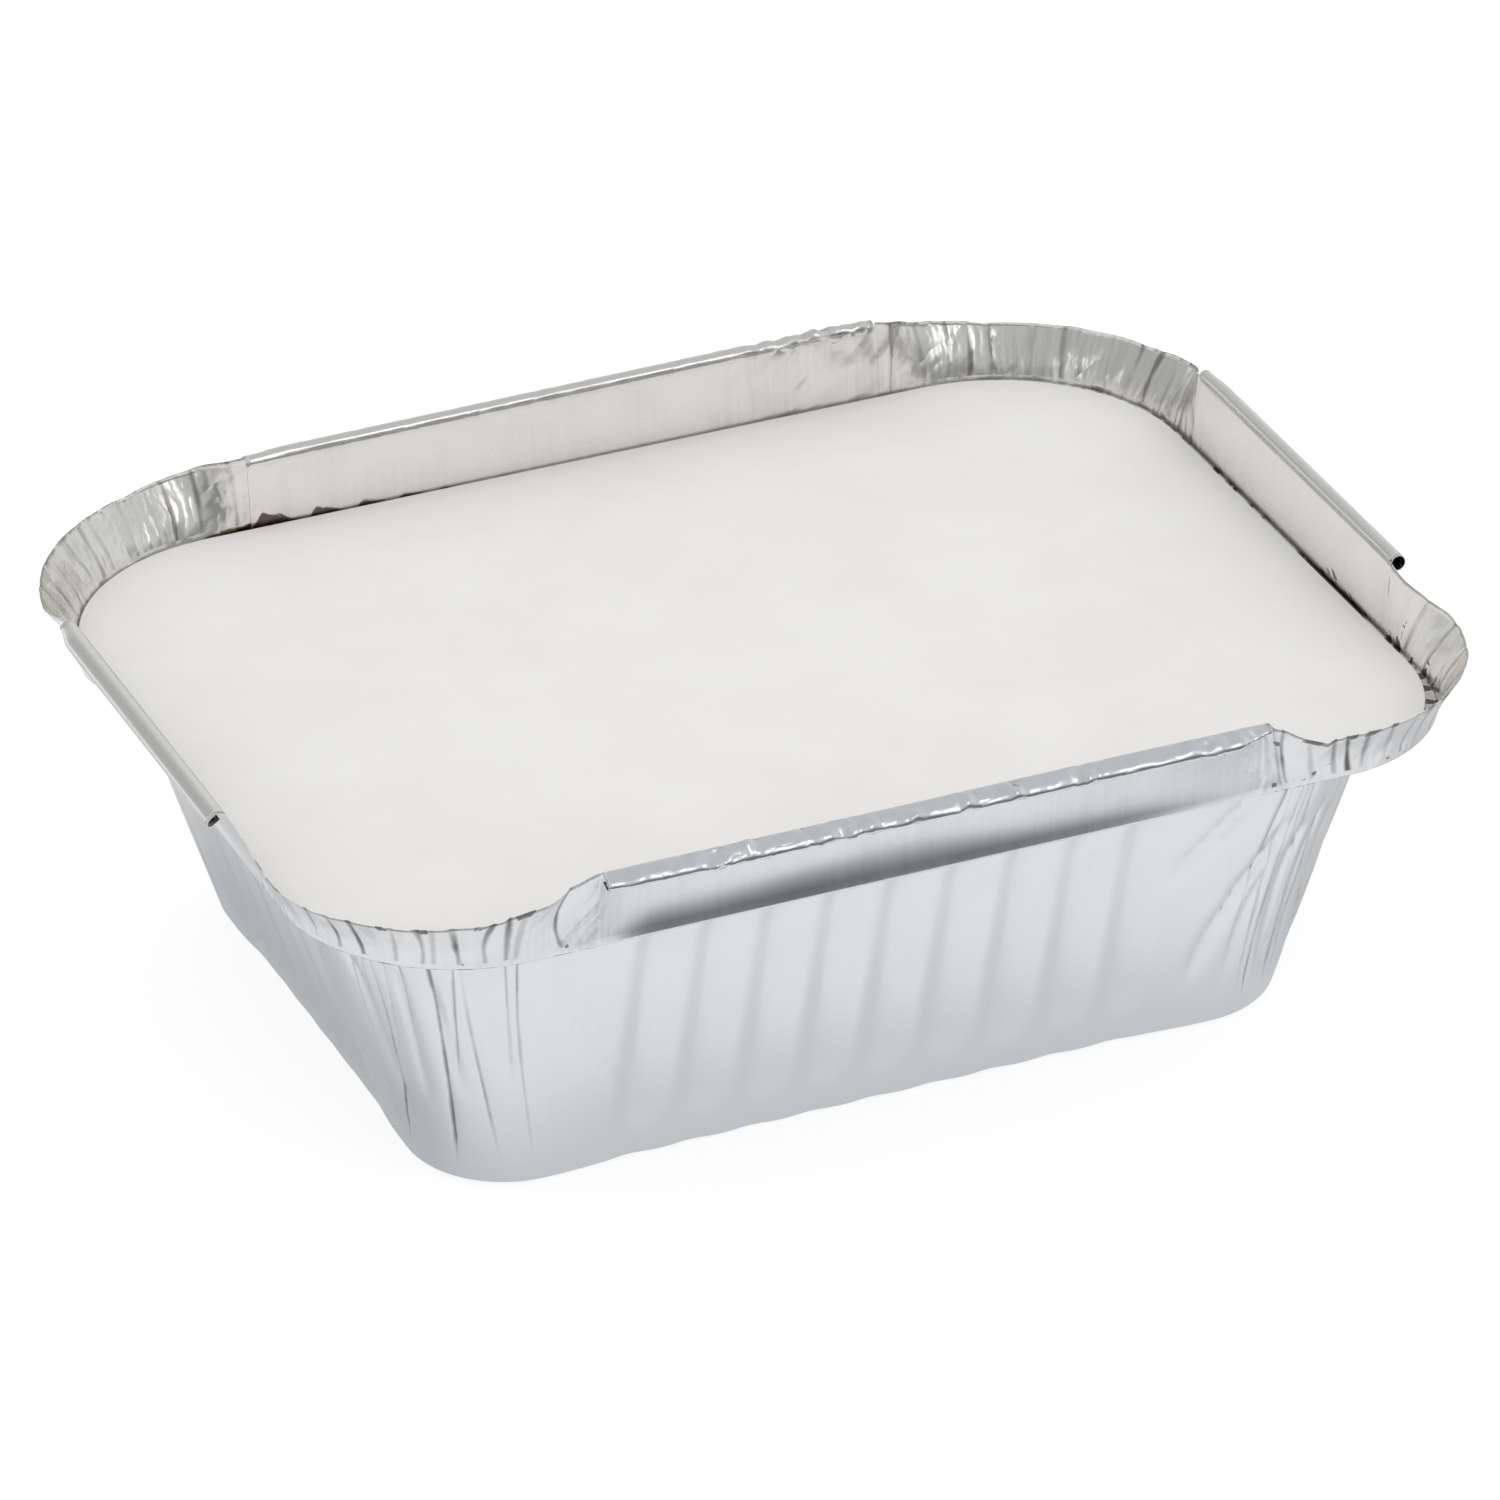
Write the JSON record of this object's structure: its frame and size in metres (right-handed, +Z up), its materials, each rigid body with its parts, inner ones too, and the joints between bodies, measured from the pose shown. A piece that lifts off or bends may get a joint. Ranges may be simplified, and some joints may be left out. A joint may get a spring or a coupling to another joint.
{
  "type": "foil food container",
  "caption": "Rectangular aluminium foil takeaway container with fluted walls, pleated corners and rolled hems, covered by a loose white card lid.",
  "frame": {"origin": "middle of the flat underside, on the surface that the container stands on", "axes": "+X along the long side, +Y from the front wall to the back wall, +Z up through the lid"},
  "size_m": [0.2041, 0.1576, 0.0653],
  "materials": {
    "foil": "satin foil, bright where it is creased",
    "card": "matte white coated card"
  },
  "bodies": {
    "root": {"foil_tray": "foil", "card_lid": "card"}
  },
  "joints": []
}
